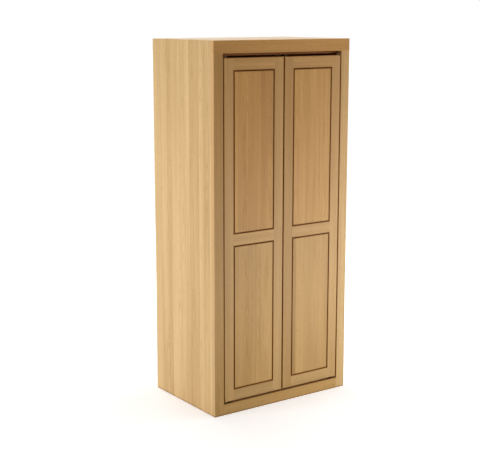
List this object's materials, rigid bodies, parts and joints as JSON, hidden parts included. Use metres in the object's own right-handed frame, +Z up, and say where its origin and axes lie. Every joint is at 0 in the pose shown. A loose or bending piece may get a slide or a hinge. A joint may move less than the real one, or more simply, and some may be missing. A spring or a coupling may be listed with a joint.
{
  "type": "broom cupboard",
  "caption": "Tall free-standing oak broom cupboard: a face frame with two inset panelled doors on pivots, a finger slot over them, a tall bay with pegs and a bay with shelves.",
  "frame": {"origin": "middle of the base, on the floor", "axes": "+Z up, the doors face -Y, +X to the right as seen from the front"},
  "size_m": [0.9, 0.6, 2],
  "materials": {
    "oak_case": "oiled, satin",
    "oak_face_frame": "oiled, satin",
    "oak_door_frame": "oiled, satin",
    "oak_door_panel": "oiled, satin",
    "oak_inside": "oiled, satin",
    "oak_turned": "oiled, satin",
    "oak_back_board": "oak-faced plywood, satin",
    "beech_dowel": "plain",
    "pivot_steel": "dark bronze, satin",
    "bronze_bush": "turned",
    "washer_nylon": "matt",
    "catch_plastic": "matt, dark brown",
    "magnet": "sintered, matt",
    "strike_steel": "zinc plated",
    "screw_steel": "zinc plated",
    "pin_steel": "nickel plated"
  },
  "bodies": {
    "case": {"back_panel": "oak_back_board", "back_rail_bottom": "oak_inside", "back_rail_top": "oak_inside", "back_screws": "screw_steel", "bottom_panel": "oak_inside", "broom_peg_left": "oak_turned", "broom_peg_middle": "oak_turned", "broom_peg_right": "oak_turned", "catch_bottom_left": "catch_plastic", "catch_bottom_right": "catch_plastic", "catch_magnets": "magnet", "catch_screws": "screw_steel", "catch_top_left": "catch_plastic", "catch_top_right": "catch_plastic", "frame_bottom_rail": "oak_face_frame", "frame_dowels": "beech_dowel", "frame_stile_left": "oak_face_frame", "frame_stile_right": "oak_face_frame", "frame_top_rail": "oak_face_frame", "head_rail": "oak_inside", "partition": "oak_inside", "peg_rail": "oak_inside", "pivot_pins_bottom": "pivot_steel", "pivot_pins_top": "pivot_steel", "pivot_plate_bottom_left": "pivot_steel", "pivot_plate_bottom_right": "pivot_steel", "pivot_plate_screws": "screw_steel", "pivot_plate_top_left": "pivot_steel", "pivot_plate_top_right": "pivot_steel", "shelf_lower": "oak_inside", "shelf_middle": "oak_inside", "shelf_pins": "pin_steel", "shelf_upper": "oak_inside", "side_panel_left": "oak_case", "side_panel_right": "oak_case", "thrust_washers": "washer_nylon", "top_panel": "oak_case", "top_shelf": "oak_inside"},
    "left_door": {"door_left_bushes": "bronze_bush", "door_left_panel_lower": "oak_door_panel", "door_left_panel_upper": "oak_door_panel", "door_left_rail_bottom": "oak_door_frame", "door_left_rail_middle": "oak_door_frame", "door_left_rail_top": "oak_door_frame", "door_left_stile_hinge": "oak_door_frame", "door_left_stile_meeting": "oak_door_frame", "door_left_strike_screws": "screw_steel", "door_left_strikes": "strike_steel"},
    "right_door": {"door_right_bushes": "bronze_bush", "door_right_panel_lower": "oak_door_panel", "door_right_panel_upper": "oak_door_panel", "door_right_rail_bottom": "oak_door_frame", "door_right_rail_middle": "oak_door_frame", "door_right_rail_top": "oak_door_frame", "door_right_stile_hinge": "oak_door_frame", "door_right_stile_meeting": "oak_door_frame", "door_right_strike_screws": "screw_steel", "door_right_strikes": "strike_steel"}
  },
  "joints": [
    {"name": "left_door_hinge", "type": "hinge", "parent": "case", "child": "left_door", "pos_m": [-0.373, -0.289, 0.071], "axis": [0, 0, -1], "range_deg": [0, 110]},
    {"name": "right_door_hinge", "type": "hinge", "parent": "case", "child": "right_door", "pos_m": [0.373, -0.289, 0.071], "axis": [0, 0, 1], "range_deg": [0, 110]}
  ]
}
